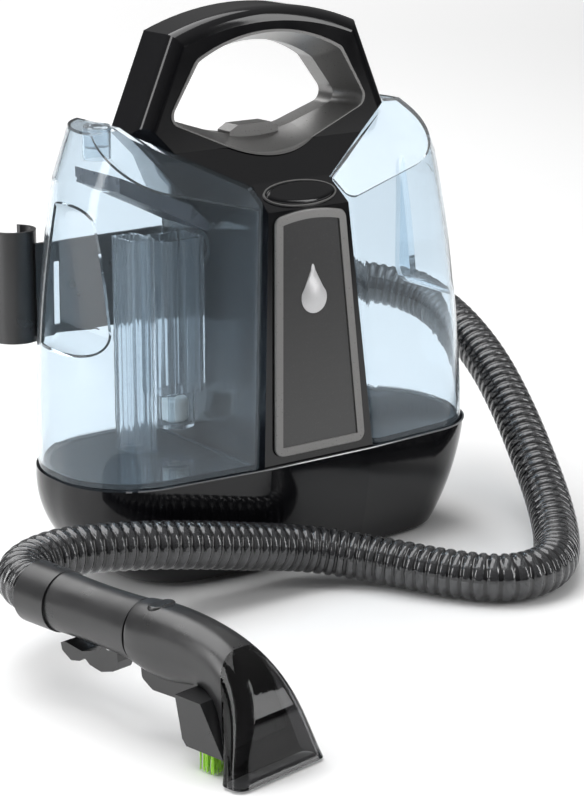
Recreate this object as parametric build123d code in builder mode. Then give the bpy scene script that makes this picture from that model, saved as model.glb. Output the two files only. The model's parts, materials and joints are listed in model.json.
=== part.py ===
"""Portable spot extractor with two clear tanks, a ribbed hose and a spray tool.

Millimetres.  +X is the machine's right seen from the front, the front faces -Y
and +Z is up.  The origin is under the middle of the machine, on the plane that
its rubber feet stand on.
"""
import os
from math import cos, pi, radians, sin, tan

from build123d import *

# ---------------------------------------------------------------- driving sizes
FOOT_H = 3.0  # rubber feet under the base
DECK_Z = 69.0  # top of the base, which the tanks stand on
BACK_Y = 54.0  # back of the machine
STRIP_Y = -70.0  # front face of the name strip at its lower edge
STRIP_Z = 74.5  # lower edge of the name strip
STRIP_LEAN = 4.28  # degrees that the front leans back
STRIP_H = 144.0  # height of the strip along its own face
GAP = 0.4  # room between a tank and what it touches

LEFT_END = 152.5  # dirty tank's outer end, from the middle
RIGHT_END = 141.0  # clean tank's outer end, from the middle
TANK_Z = DECK_Z + 1.2  # underside of the tanks
TANK_TOP = 272.0  # flat top at the back of the tanks
TANK_IN = 42.0  # tank's inner wall from the middle, at the deck
TANK_WALL = 2.5
FRONT_R, BACK_R = 48.0, 62.0  # rounded ends of the tanks and base in plan

V_Y, V_Z, V_X = -38.0, 236.0, 31.0  # lower corner of the gloss V on the front
TIP_X, TIP_Y, TIP_Z = 92.6, -6.0, 268.0  # where the V meets the handle's foot
CROWN_Z = 338.0  # top of the handle
HANDLE_FRONT, HANDLE_BACK = -18.0, 16.0
BUTTON_A, BUTTON_B = 26.5, 10.6  # half axes of the power button's rim
SEAM_Y = -1.0  # seam between the front and back shells

HOSE_D = 28.0
CORD_FLOOR = HOSE_D / 2 + 0.2  # centre of the hose where it lies on the floor
TOOL_HEAD = (-201.4, -307.2)  # middle of the tool's mouth on the floor
TOOL_DIR = (0.17, -0.985)  # the way the tool points, in plan
TOOL_Z = 50.0  # height of the tool's grip
GRIP_START, GRIP_END = -168.0, -101.0  # along the tool, from its mouth
MOUTH_W, MOUTH_DEPTH = 62.0, 16.0
TRIGGER_AT = -120.0  # trigger pivot, along the tool
TRIGGER_Z = TOOL_Z - 12

PLATE_MIDDLE = (3.0, -6.5)  # middle of the bottom plate in plan
VALVE_X = 68.0  # clean tank's valve, from the middle
PLUG_AT = (-108.4, 6.0)
PLUG_R = 6.5  # drain plug on the dirty tank's flat top
FLOAT_AT = (-59.0, 2.0)
MOTOR_R = 24.0
PUMP_Y = -44.0
PORT_Z = 190.0  # height of the air ports between body and dirty tank
PORT_Y = (11.0, 36.0)
BRACKET_AT = (-130.5, 70.0)  # middle of the tool bracket's cup
HOSE_EXIT = (25.0, 73.0, 140.0)  # mouth of the hose socket

LEAN = tan(radians(STRIP_LEAN))
os.makedirs("parts", exist_ok=True)


# ---------------------------------------------------------------- shared shapes
def round_ends(level, shrink):
    """Round the four outer corners of a plan outline; the back ones are larger."""
    ends = level.vertices().filter_by(lambda v: abs(v.X) > 60)
    fillet(ends.filter_by(lambda v: v.Y < 0), FRONT_R - shrink)
    ends = level.vertices().filter_by(lambda v: abs(v.X) > 60 and v.Y > BACK_Y - 25)
    fillet(ends, BACK_R - shrink)


def base_outline(z, left, right, front, back, shrink):
    """One level of the base: rounded ends and a front that bows at the middle."""
    with BuildSketch(Plane.XY.offset(z)) as level:
        with BuildLine():
            Polyline((-left, front + 8), (-38, front), (38, front), (right, front + 8),
                     (right, back), (-left, back), close=True)
        make_face()
        round_ends(level, shrink)
    return level.sketch


def base_block(inset, floor_z, top_z):
    """The base's tapered block, drawn in by inset on every side."""
    with BuildPart() as block:
        for z, left, right, front, back, shrink in (
            (floor_z, 114, 120, -59, 46, 10),
            (30, 144, 134, -66, 52, 2),
            (top_z, LEFT_END + 1, RIGHT_END + 1, -71, BACK_Y + 1, 0),
        ):
            add(base_outline(z, left - inset, right - inset, front + inset, back - inset,
                             shrink + inset))
        loft()
    return block.part


def tank_level(side, end, inset, z, narrow):
    """One level of a tank; side is -1 for the left tank and 1 for the right."""
    inner = TANK_IN - (z - TANK_Z) * LEAN + inset
    outer = end - narrow - inset
    front = -69 + (z - TANK_Z) * LEAN + inset
    with BuildSketch(Plane.XY.offset(z)) as level:
        with BuildLine():
            Polyline((side * inner, front), (side * outer, front + 8), (side * outer, BACK_Y - inset),
                     (side * inner, BACK_Y - inset), close=True)
        make_face()
        round_ends(level, narrow / 3 + inset)
        fillet(level.vertices().filter_by(lambda v: abs(v.X) < inner + 1), 7 - inset)
    return level.sketch


def wing_planes(side, shift):
    """The two planes under the V's wing on one side, moved down by shift."""
    back_way = Vector(-side, 0, 1)
    front_way = Vector(-side, 0.925, 1)
    tip = Vector(side * TIP_X, TIP_Y, TIP_Z)
    return [
        Plane(origin=tip - back_way.normalized() * shift, z_dir=back_way),
        Plane(origin=tip - front_way.normalized() * shift, z_dir=front_way),
    ]


def wing_cut(side, shift):
    """Everything above a tank that belongs to the body's wing."""
    with BuildPart() as cut:
        with Locations((side * 60, 0, 260)):
            Box(200, 220, 240)
        for plane in wing_planes(side, shift):
            split(bisect_by=plane, keep=Keep.TOP)
    return cut.part


def tank_block(side, end, inset):
    """A whole tank, drawn in by inset: leaning sides, a shoulder and a sloped top."""
    top_way = Vector(-0.194 * side, -0.6264, 1).normalized()
    top_at = Vector(side * V_X, V_Y, V_Z) - top_way * inset
    with BuildPart() as block:
        for z, narrow in ((TANK_Z + inset, 0), (150, 2), (242, 17)):
            add(tank_level(side, end, inset, z, narrow))
        loft()
        add(tank_level(side, end, inset, 242, 17))
        add(tank_level(side, end, inset, 285, 37))
        loft(ruled=True)
        split(bisect_by=Plane(origin=top_at, z_dir=top_way), keep=Keep.BOTTOM)
        split(bisect_by=Plane.XY.offset(TANK_TOP - inset), keep=Keep.BOTTOM)
        add(wing_cut(side, GAP + inset), mode=Mode.SUBTRACT)
    return block.part


def strip_plane(height, proud):
    """A plane on the leaning front, at a height along it; positive proud is forward."""
    lean = radians(STRIP_LEAN)
    out = Vector(0, -cos(lean), sin(lean))
    up = Vector(0, sin(lean), cos(lean))
    return Plane(origin=Vector(0, STRIP_Y, STRIP_Z) + up * height + out * proud, x_dir=(1, 0, 0), z_dir=out)


def strip_outline(inset):
    """The tapered name strip with its arched top, drawn in by inset."""
    with BuildSketch() as face:
        with BuildLine():
            Polyline((-26.2, STRIP_H), (-34.3, 0), (34.3, 0), (26.2, STRIP_H))
            ThreePointArc((26.2, STRIP_H), (0, STRIP_H + 3.5), (-26.2, STRIP_H))
        make_face()
        fillet(face.vertices(), 6)
        if inset:
            offset(amount=-inset, mode=Mode.REPLACE)
    return face.sketch


def side_port(y, radius, inner, outer):
    """A disc on the column's leaning left wall, between two distances from it."""
    out = Vector(-1, 0, LEAN).normalized()
    at = Vector(-(TANK_IN - 0.8) + (PORT_Z - DECK_Z) * LEAN, y, PORT_Z)
    with BuildPart() as port:
        with BuildSketch(Plane(origin=at + out * inner, x_dir=(0, 1, 0), z_dir=out)):
            Circle(radius)
        extrude(amount=outer - inner)
    return port.part


def tool_plane(along, height=TOOL_Z, tip_down=0.0):
    """A cross-section plane of the tool; its normal runs towards the mouth."""
    way = Vector(TOOL_DIR[0], TOOL_DIR[1], 0).normalized()
    side = Vector(-way.Y, way.X, 0)
    at = Vector(TOOL_HEAD[0], TOOL_HEAD[1], height) + way * along
    normal = way * cos(radians(tip_down)) - Vector(0, 0, 1) * sin(radians(tip_down))
    return Plane(origin=at, x_dir=side, z_dir=normal)


def tool_floor(along, height):
    """A level plane at a place on the tool; x runs across it, y runs along it."""
    section = tool_plane(along, height)
    return Plane(origin=section.origin, x_dir=section.x_dir, z_dir=(0, 0, 1))


def tool_side(height=TOOL_Z):
    """The tool's lengthwise plane: x runs along the tool, y runs up."""
    way = Vector(TOOL_DIR[0], TOOL_DIR[1], 0).normalized()
    return Plane(origin=(TOOL_HEAD[0], TOOL_HEAD[1], height), x_dir=way, z_dir=(way.Y, -way.X, 0))


def corner_radii(points):
    """The largest even arc at each corner of a route of straight runs."""
    radii = []
    for before, here, after in zip(points, points[1:], points[2:]):
        run_in = Vector(*here) - Vector(*before)
        run_out = Vector(*after) - Vector(*here)
        half_turn = radians(run_in.get_angle(run_out)) / 2
        radii.append(0.45 * min(run_in.length, run_out.length) / tan(half_turn))
    return radii


# ---------------------------------------------------------------- base
with BuildPart() as base_shell:
    add(base_block(0, FOOT_H, DECK_Z))
    add(base_block(3, FOOT_H, DECK_Z - 4), mode=Mode.SUBTRACT)
    with BuildSketch(Plane.XY.offset(DECK_Z)):
        Rectangle(58, 100)
        with Locations((VALVE_X + 3, 0)):
            SlotOverall(32, 26)
    extrude(amount=-10, mode=Mode.SUBTRACT)
    with BuildSketch(Plane.XY.offset(DECK_Z)):
        for seat_side, seat_end in ((-1, LEFT_END), (1, RIGHT_END)):
            add(tank_level(seat_side, seat_end, 4, TANK_Z, 0))
            add(tank_level(seat_side, seat_end, 6.6, TANK_Z, 0), mode=Mode.SUBTRACT)
    extrude(amount=-1.5, mode=Mode.SUBTRACT)

with BuildPart() as base_plate:
    with BuildSketch(Plane.XY.offset(FOOT_H)):
        add(base_outline(0, 110.5, 116.5, -55.5, 42.5, 13.5))
        with Locations(PLATE_MIDDLE):
            with GridLocations(150, 70, 2, 2):
                Circle(2.2, mode=Mode.SUBTRACT)
            with Locations((46, 0)), GridLocations(9, 1, 6, 1):
                SlotOverall(40, 4, rotation=90, mode=Mode.SUBTRACT)
    extrude(amount=2.5)

with BuildPart() as rubber_feet:
    with BuildSketch():
        with Locations(PLATE_MIDDLE), GridLocations(176, 56, 2, 2):
            Circle(9)
        Circle(9)
    extrude(amount=FOOT_H)

with BuildPart() as base_screws:
    with BuildSketch(Plane.XY.offset(FOOT_H - 1.4)):
        with Locations(PLATE_MIDDLE), GridLocations(150, 70, 2, 2):
            Circle(3.6)
    extrude(amount=1.4)
    with BuildSketch(Plane.XY.offset(FOOT_H)):
        with Locations(PLATE_MIDDLE), GridLocations(150, 70, 2, 2):
            Circle(2.0)
    extrude(amount=12)

with BuildPart() as tank_gaskets:
    with BuildSketch(Plane.XY.offset(DECK_Z - 1.5)):
        for seat_side, seat_end in ((-1, LEFT_END), (1, RIGHT_END)):
            add(tank_level(seat_side, seat_end, 4, TANK_Z, 0))
            add(tank_level(seat_side, seat_end, 6.6, TANK_Z, 0), mode=Mode.SUBTRACT)
    extrude(amount=2.3)

with BuildPart() as valve_cup:
    cup_at = (VALVE_X + 3, 0)
    with BuildSketch(Plane.XY.offset(DECK_Z - 12)):
        with Locations(cup_at):
            SlotOverall(32, 26)
    extrude(amount=11.5)
    with BuildSketch(Plane.XY.offset(DECK_Z - 10)):
        with Locations(cup_at):
            SlotOverall(28, 22)
    extrude(amount=12, mode=Mode.SUBTRACT)
    with Locations((VALVE_X, 0, DECK_Z - 10)):
        Cylinder(1.6, 6.6, align=(Align.CENTER, Align.CENTER, Align.MIN))
    with Locations((VALVE_X + 8, 0, DECK_Z - 12)):
        Cylinder(4, 9, align=(Align.CENTER, Align.CENTER, Align.MAX))


# ---------------------------------------------------------------- body shells
def core_outline(inset):
    """Front view of the middle column, between the tanks."""
    low = TANK_IN - 0.8 - inset
    top = V_Z + 20
    high = low - (top - DECK_Z) * LEAN
    with BuildSketch(Plane.XZ) as face:
        with BuildLine():
            Polyline((-low, DECK_Z), (low, DECK_Z), (high, top), (-high, top), close=True)
        make_face()
    return face.sketch


def handle_outline():
    """Front view of the handle and of the wings that carry it."""
    with BuildSketch(Plane.XZ) as face:
        with BuildLine():
            Polyline((-68, 325), (-TIP_X, TIP_Z), (0, TIP_Z - TIP_X), (TIP_X, TIP_Z), (68, 325))
            ThreePointArc((68, 325), (0, CROWN_Z), (-68, 325))
        make_face()
        fillet(face.vertices().filter_by(lambda v: v.Z > 300), 16)
    return face.sketch


def opening_outline(drop, side_in, top_in):
    """Front view of the hand opening; its lower edge dips at the middle.

    drop is how far its lower edge hangs, side_in and top_in how far it is drawn in.
    """
    side_x, top_x = 75 - side_in, 54 - side_in
    low, top = 276 - drop, 310 - top_in
    with BuildSketch(Plane.XZ) as face:
        with BuildLine():
            Line((-side_x, 275), (-top_x, top))
            ThreePointArc((-top_x, top), (0, 324 - top_in), (top_x, top))
            Polyline((top_x, top), (side_x, 275), (30, low + 0.23 * drop))
            ThreePointArc((30, low + 0.23 * drop), (0, low), (-30, low + 0.23 * drop))
            Line((-30, low + 0.23 * drop), (-side_x, 275))
        make_face()
        fillet(face.vertices().filter_by(lambda v: abs(v.X) > 35), 7)
    return face.sketch


def body_block(profile):
    """The body cut to one side profile: column, wings and handle."""
    with BuildPart() as block:
        extrude(handle_outline(), amount=90, both=True)
        for side in (-1, 1):
            for plane in wing_planes(side, 0):
                split(bisect_by=plane, keep=Keep.TOP)
        extrude(core_outline(0), amount=90, both=True)
        with BuildSketch(Plane.YZ):
            with BuildLine():
                Polyline(*profile, close=True)
            make_face()
        extrude(amount=120, both=True, mode=Mode.INTERSECT)
        extrude(opening_outline(26.5, 0, 0), amount=90, both=True, mode=Mode.SUBTRACT)
    return block.part


def body_hollow():
    """The room inside the column for the motor, fan and pump."""
    with BuildPart() as hollow:
        extrude(core_outline(3), amount=90, both=True)
        with BuildSketch(Plane.YZ):
            with BuildLine():
                Polyline((-61, 60), (-53.5, 208), (BACK_Y - 8, 208), (BACK_Y - 4, 200),
                         (BACK_Y - 4, 60), close=True)
            make_face()
        extrude(amount=80, both=True, mode=Mode.INTERSECT)
    return hollow.part


def socket_barrel(radius, back, front):
    """A cylinder on the hose socket's axis; distances run from its mouth."""
    out = hose_way()
    with BuildPart() as barrel:
        with BuildSketch(Plane(origin=Vector(*HOSE_EXIT) - out * back, z_dir=out)):
            Circle(radius)
        extrude(amount=back + front)
    return barrel.part


def hose_way():
    """The way the hose leaves its socket."""
    return (Vector(*HOSE_ROUTE[1]) - Vector(*HOSE_ROUTE[0])).normalized()


HOSE_ROUTE = [
    (16.8, 67.4, 140.2), (64, 99, 139), (116, 123, 133), (170, 125, 124), (206, 92, 115), (201, 44, 105),
    (192, -2, 87), (177, -46, 65), (160, -86, 43), (142, -122, 25), (118, -156, CORD_FLOOR),
    (86, -187, CORD_FLOOR), (50, -189, CORD_FLOOR), (27, -157, CORD_FLOOR), (7, -115, CORD_FLOOR + 1),
    (-23, -88, 21), (-66, -89, 31), (-110, -88, 41), (-150, -82, 47), (-190, -77, 50),
    (-221, -88, 50), (-235.5, -113, 50), (-230.3, -139.7, 50),
]

front_low = STRIP_Y + 2.01 + (DECK_Z - STRIP_Z) * LEAN
front_high = STRIP_Y + 2.01 + (222 - STRIP_Z) * LEAN
front_profile = [(SEAM_Y, DECK_Z), (front_low, DECK_Z), (front_high, 222), (V_Y, V_Z),
                 (HANDLE_FRONT, V_Z - V_Y + HANDLE_FRONT), (HANDLE_FRONT, 345), (SEAM_Y, 345)]
back_profile = [(SEAM_Y, DECK_Z), (BACK_Y, DECK_Z), (BACK_Y, 214), (HANDLE_BACK, 252),
                (HANDLE_BACK, 345), (SEAM_Y, 345)]
button_plane = Plane(origin=(0, (V_Y + front_high) / 2, (V_Z + 222) / 2), x_dir=(1, 0, 0),
                     z_dir=(0, 222 - V_Z, V_Y - front_high))


def on_handle_rim(edge):
    """True for the outer front edges of the handle, which a hand rubs."""
    at = edge.center()
    inside = abs(at.X) < 64 and at.Z < 330
    return abs(at.Y - HANDLE_FRONT) < 0.5 and at.Z > 286 and not inside


with BuildPart() as front_shell:
    add(body_block(front_profile))
    add(body_hollow(), mode=Mode.SUBTRACT)
    with BuildSketch(button_plane.offset(5)):
        Ellipse(BUTTON_A, BUTTON_B)
    extrude(amount=-17, mode=Mode.SUBTRACT)
    with BuildSketch(button_plane.offset(-11)):
        Rectangle(14, 9)
    extrude(amount=-13, mode=Mode.SUBTRACT)
    fillet(front_shell.edges().filter_by(on_handle_rim), 9)

with BuildPart() as back_shell:
    add(body_block(back_profile))
    add(body_hollow(), mode=Mode.SUBTRACT)
    add(socket_barrel(19, 60, 1), mode=Mode.SUBTRACT)
    for port_y in PORT_Y:
        add(side_port(port_y, 8, -12, 4), mode=Mode.SUBTRACT)
        add(side_port(port_y, 11, -1.5, 4), mode=Mode.SUBTRACT)
    with Locations((0, BACK_Y, 188)):
        Box(38, 20, 20, mode=Mode.SUBTRACT)
    with Locations((14, BACK_Y, 92)):
        Cylinder(3, 20, rotation=(90, 0, 0), mode=Mode.SUBTRACT)
    with Locations((-20, BACK_Y, 100)):
        Cylinder(6, 20, rotation=(90, 0, 0), mode=Mode.SUBTRACT)
    with Locations((0, BACK_Y, 170)):
        Cylinder(4.05, 20, rotation=(90, 0, 0), mode=Mode.SUBTRACT)

with BuildPart() as handle_liner:
    extrude(opening_outline(26.5, 0, 0), amount=40, both=True)
    with BuildSketch(Plane.YZ):
        with BuildLine():
            Polyline((HANDLE_BACK + 0.6, 230), (HANDLE_BACK + 0.6, 345), (HANDLE_FRONT - 0.6, 345),
                     (HANDLE_FRONT - 0.6, V_Z - V_Y + HANDLE_FRONT + 0.4), (V_Y - 0.6, V_Z + 0.4),
                     (V_Y - 0.6, 230), close=True)
        make_face()
    extrude(amount=120, both=True, mode=Mode.INTERSECT)
    with BuildPart(mode=Mode.SUBTRACT):
        loft([Pos(0, HANDLE_FRONT - 1, 0) * opening_outline(25.4, 1.4, 1.4),
              Pos(0, 2, 0) * opening_outline(17, 8, 8)])
        extrude(Pos(0, HANDLE_FRONT - 1, 0) * opening_outline(25.4, 1.4, 1.4), amount=20)
    extrude(opening_outline(17, 8, 8), amount=60, both=True, mode=Mode.SUBTRACT)
    with BuildSketch(Plane.XZ.offset(-12)):
        with BuildLine():
            Polyline((-18, 256), (18, 256), (18, 262), (12, 265.5), (-12, 265.5), (-18, 262), close=True)
        make_face()
    extrude(amount=13)


with BuildPart() as strip_bezel:
    with BuildSketch(strip_plane(0, 0)):
        add(strip_outline(0))
        add(strip_outline(5.6), mode=Mode.SUBTRACT)
    extrude(amount=-2)
    fillet(strip_bezel.faces().sort_by(Axis.Y)[0].edges(), 0.7)

with BuildPart() as nameplate:
    with BuildSketch(strip_plane(0, -0.9)):
        add(strip_outline(5.6))
    extrude(amount=-1.1)

with BuildPart() as button_bezel:
    with BuildSketch(button_plane.offset(-11.9)):
        Ellipse(BUTTON_A, BUTTON_B)
        Ellipse(BUTTON_A - 1, BUTTON_B - 1, mode=Mode.SUBTRACT)
    extrude(amount=13)

with BuildPart() as power_button:
    with BuildSketch(button_plane.offset(-9)):
        Ellipse(BUTTON_A - 1.4, BUTTON_B - 1.4)
    extrude(amount=11.6)
    fillet(power_button.faces().sort_by(Axis.Z)[-1].edges(), 2.4)

with BuildPart() as power_switch:
    with BuildSketch(button_plane.offset(-24)):
        Rectangle(14, 9)
    extrude(amount=10)
    with BuildSketch(button_plane.offset(-14)):
        Circle(2)
    extrude(amount=2)


# ---------------------------------------------------------------- inside the column
with BuildPart() as motor:
    with BuildSketch(Plane.XY.offset(98)):
        Circle(MOTOR_R)
        Circle(3.05, mode=Mode.SUBTRACT)
    extrude(amount=56)
    chamfer(motor.edges().filter_by(GeomType.CIRCLE).filter_by(lambda e: e.radius > MOTOR_R - 1), 3)

with BuildPart() as motor_mount:
    for ring_z in (104, 140):
        with BuildSketch(Plane.XY.offset(ring_z)):
            Circle(MOTOR_R + 4)
            Circle(MOTOR_R, mode=Mode.SUBTRACT)
        extrude(amount=6)

with BuildPart() as fan:
    with BuildSketch(Plane.XY.offset(94)):
        Circle(3)
    extrude(amount=82)
    with BuildSketch(Plane.XY.offset(163)):
        Circle(22)
    extrude(amount=1.6)
    with BuildSketch(Plane.XY.offset(163)):
        Circle(7)
        with PolarLocations(14, 9):
            Rectangle(15, 1.4)
    extrude(amount=12)

with BuildPart() as fan_housing:
    with BuildSketch(Plane.XY.offset(157)):
        Circle(26)
    extrude(amount=23)
    with BuildSketch(Plane.XY.offset(159)):
        Circle(23.6)
    extrude(amount=19, mode=Mode.SUBTRACT)
    with BuildSketch(Plane.XY.offset(156)):
        Circle(9)
    extrude(amount=30, mode=Mode.SUBTRACT)

with BuildPart() as suction_duct:
    with Locations((-9, 7, 190)):
        Box(37, 26, 20)
    with Locations((-11, 7, 190)):
        Box(37, 22.4, 16.4, mode=Mode.SUBTRACT)
    with Locations((0, 0, 180)):
        Cylinder(7, 12, mode=Mode.SUBTRACT)

with BuildPart() as dirty_duct:
    with BuildLine() as duct_route:
        FilletPolyline((-8, 36, 128), (-8, 36, PORT_Z), (-26, 36, PORT_Z), radius=12)
    with BuildSketch(Plane(origin=duct_route.line @ 0, z_dir=duct_route.line % 0)):
        Circle(7.5)
        Circle(6, mode=Mode.SUBTRACT)
    sweep()

with BuildPart() as pump:
    with Locations((0, PUMP_Y, 94)):
        Cylinder(13, 34)
    with Locations((0, PUMP_Y, 117)):
        Box(30, 22, 12)
    with Locations((18, PUMP_Y, 117)):
        Cylinder(3, 8, rotation=(0, 90, 0))

with BuildPart() as supply_tube:
    with BuildLine() as tube_route:
        FilletPolyline((VALVE_X + 8, 0, 48), (VALVE_X + 8, 0, 36), (30, -10, 30), (0, PUMP_Y, 40), (0, PUMP_Y, 77),
                       radius=5)
    with BuildSketch(Plane(origin=tube_route.line @ 0, z_dir=tube_route.line % 0)):
        Circle(3)
    sweep()

with BuildPart() as circuit_board:
    with Locations((0, -51, 158)):
        Box(40, 1.6, 50)
    with Locations((-8, -47.7, 153), (9, -47.7, 168)):
        Box(12, 5, 12)

with BuildPart() as port_seals:
    for port_y in PORT_Y:
        add(side_port(port_y, 11, -1.5, 0.4))
        add(side_port(port_y, 8, -2, 1), mode=Mode.SUBTRACT)


# ---------------------------------------------------------------- back of the machine
with BuildPart() as exhaust_grille:
    with Locations((0, BACK_Y - 1.6, 188)):
        Box(38, 4, 20)
    with Locations((0, BACK_Y - 1, 188)), GridLocations(5, 1, 7, 1):
        Box(2.4, 6, 16, mode=Mode.SUBTRACT)

with BuildPart() as cord_inlet:
    with BuildSketch(Plane.XZ.offset(-BACK_Y - 14)):
        with Locations((-20, 100)):
            Circle(4.5)
    with BuildSketch(Plane.XZ.offset(-BACK_Y)):
        with Locations((-20, 100)):
            Circle(8)
    loft()
    with Locations((-20, BACK_Y - 2, 100)):
        Cylinder(6, 4, rotation=(90, 0, 0))
    with Locations((-20, BACK_Y + 2, 100)):
        Cylinder(3.2, 40, rotation=(90, 0, 0), mode=Mode.SUBTRACT)

with BuildPart() as lower_hook:
    with Locations((14, BACK_Y + 6, 92)):
        Cylinder(3, 20, rotation=(90, 0, 0))
    with Locations((14, BACK_Y + 13, 85)):
        Box(12, 6, 30)
    fillet(lower_hook.edges().filter_by(Axis.Y), 2)

with BuildPart() as upper_hook:
    with Locations((0, BACK_Y + 5, 170)):
        Cylinder(4, 18, rotation=(90, 0, 0))
    with Locations((0, BACK_Y + 14.3, 182)):
        Box(12, 4.6, 36)
    fillet(upper_hook.edges().filter_by(Axis.Y), 2)

with BuildPart() as shell_screws:
    for screw_x in (-29, 29):
        for screw_z in (78, 204):
            with Locations((screw_x if screw_z < 100 else screw_x * 0.8, BACK_Y + 0.7, screw_z)):
                Cylinder(3.5, 1.4, rotation=(90, 0, 0))

with BuildPart() as tool_bracket:
    cup_x, cup_y = BRACKET_AT
    with Locations((-76, cup_y - 12.8, 167)):
        Box(94, 3.2, 58)
    with Locations((-27.5, BACK_Y + 2.4, 167)):
        Box(13, 4.8, 50)
    with Locations((cup_x, cup_y, 169.5)):
        Cylinder(14.5, 69)
        Cylinder(12, 70, mode=Mode.SUBTRACT)
    with Locations((cup_x + 2, cup_y + 12, 169.5)):
        Box(15, 14, 80, mode=Mode.SUBTRACT)
    with Locations((cup_x + 21, cup_y - 12, 164)):
        Box(6, 12, 40, mode=Mode.SUBTRACT)

with BuildPart() as hose_socket:
    add(socket_barrel(19, 34, 0))
    add(socket_barrel(14.3, 10, 1), mode=Mode.SUBTRACT)
    add(socket_barrel(11, 40, 1), mode=Mode.SUBTRACT)


# ---------------------------------------------------------------- dirty tank
def hollow_tank(side, end):
    """One clear tank with even walls; its openings are cut where its parts fit."""
    with BuildPart() as tank:
        add(scooped_block(side, end, 0))
        add(scooped_block(side, end, TANK_WALL), mode=Mode.SUBTRACT)
    return tank.part


def scooped_block(side, end, inset):
    """A tank block with its finger grip, drawn in by inset."""
    with BuildPart() as block:
        add(tank_block(side, end, inset))
        add(grip_scoop(side, end, inset), mode=Mode.SUBTRACT)
    return block.part


def grip_scoop(side, end, grow):
    """The finger grip cut into a tank's outer front corner, grown by a wall."""
    with BuildPart() as scoop:
        with BuildSketch(Plane.XZ.offset(-8 - grow)):
            with Locations((side * (end + 22), 192)):
                RectangleRounded(80 + 2 * grow, 88 + 2 * grow, 14 + grow)
        extrude(amount=90)
    return scoop.part


with BuildPart() as dirty_tank:
    add(hollow_tank(-1, LEFT_END))
    for port_y in PORT_Y:
        add(side_port(port_y, 7, -1, 8), mode=Mode.SUBTRACT)
    with Locations((*PLUG_AT, TANK_TOP)):
        Cylinder(PLUG_R + 0.4, 12, mode=Mode.SUBTRACT)

with BuildPart() as riser_column:
    with BuildSketch(Plane.XY.offset(TANK_Z + TANK_WALL)):
        with Locations((-87, 2)):
            RectangleRounded(18, 22, 4)
            with GridLocations(6, 22, 3, 2):
                Circle(1.8)
            RectangleRounded(13, 17, 3, mode=Mode.SUBTRACT)
    extrude(amount=132)

with BuildPart() as air_duct:
    with BuildSketch(Plane.XY.offset(106)):
        with Locations(FLOAT_AT):
            RectangleRounded(33, 24, 4)
            with GridLocations(9, 24, 3, 2):
                Circle(1.6)
            RectangleRounded(28, 19, 3, mode=Mode.SUBTRACT)
    extrude(amount=96)

with BuildPart() as float_cage:
    with BuildSketch(Plane.XY.offset(84)):
        with Locations(FLOAT_AT):
            Circle(12)
            Circle(5, mode=Mode.SUBTRACT)
    extrude(amount=2.4)
    with BuildSketch(Plane.XY.offset(84)):
        with Locations(FLOAT_AT), PolarLocations(10.6, 4, start_angle=45):
            Rectangle(2.4, 4)
    extrude(amount=22)

with BuildPart() as tank_float:
    with BuildSketch(Plane.XY.offset(86.8)):
        with Locations(FLOAT_AT):
            Circle(8)
    extrude(amount=15)
    fillet(tank_float.edges(), 2.5)

with BuildPart() as inlet_tray:
    with BuildSketch(Plane.XZ):
        with BuildLine():
            Polyline((-112, 247), (-64, 226), (-50, 214), (-50, 208), (-66, 216), (-112, 238), close=True)
        make_face()
    extrude(amount=24, both=True)

with BuildPart() as pour_spout:
    with BuildSketch(Plane.XY.offset(TANK_TOP - TANK_WALL)):
        with Locations(PLUG_AT):
            Circle(PLUG_R + 1.5)
            Circle(PLUG_R + 0.4, mode=Mode.SUBTRACT)
    extrude(amount=-16)

with BuildPart() as drain_plug:
    with BuildSketch(Plane.XY.offset(TANK_TOP + 0.3)):
        with Locations(PLUG_AT):
            Circle(PLUG_R + 1.3)
    extrude(amount=1.6)
    with BuildSketch(Plane.XY.offset(TANK_TOP + 0.3)):
        with Locations(PLUG_AT):
            Circle(PLUG_R)
    extrude(amount=-12)


# ---------------------------------------------------------------- clean tank
with BuildPart() as clean_tank:
    add(hollow_tank(1, RIGHT_END))
    with Locations((VALVE_X, 0, TANK_Z)):
        Cylinder(8.3, 12, mode=Mode.SUBTRACT)

with BuildPart() as fill_cap:
    with BuildSketch(Plane.XY.offset(TANK_Z + 0.2)):
        with Locations((VALVE_X, 0)):
            Circle(8)
    extrude(amount=5.2)
    with BuildSketch(Plane.XY.offset(TANK_Z + TANK_WALL + 0.3)):
        with Locations((VALVE_X, 0)):
            Circle(11)
    extrude(amount=3)
    with Locations((VALVE_X, 0, TANK_Z)):
        Cylinder(2.05, 30, mode=Mode.SUBTRACT)

with BuildPart() as valve_plunger:
    with BuildSketch(Plane.XY.offset(DECK_Z - 3.1)):
        with Locations((VALVE_X, 0)):
            Circle(2)
    extrude(amount=13)
    with BuildSketch(Plane.XY.offset(TANK_Z + 7)):
        with Locations((VALVE_X, 0)):
            Circle(5)
    extrude(amount=2.4)


# ---------------------------------------------------------------- hose and tool
radii = corner_radii(HOSE_ROUTE)
with BuildPart() as hose:
    with BuildLine() as hose_line:
        FilletPolyline(*HOSE_ROUTE, radius=radii)
    with BuildSketch(Plane(origin=hose_line.line @ 0, z_dir=hose_line.line % 0)):
        Circle(HOSE_D / 2)
    sweep()

with BuildPart() as tool_cuff:
    with BuildSketch(tool_plane(GRIP_START - 17)):
        Circle(17)
        Circle(14.3, mode=Mode.SUBTRACT)
    extrude(amount=17)
    with BuildSketch(tool_plane(GRIP_START)):
        Circle(17)
        Circle(10, mode=Mode.SUBTRACT)
    extrude(amount=6)


def grip_block(shrink):
    """The grip's outer form, drawn in by shrink."""
    with BuildPart() as block:
        for along, wide, high in ((GRIP_START + 6, 15.5, 16.5), (-135, 14.5, 16), (GRIP_END, 15.5, 17)):
            with BuildSketch(tool_plane(along)):
                Ellipse(wide - shrink, high - shrink)
        loft()
    return block.part


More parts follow.
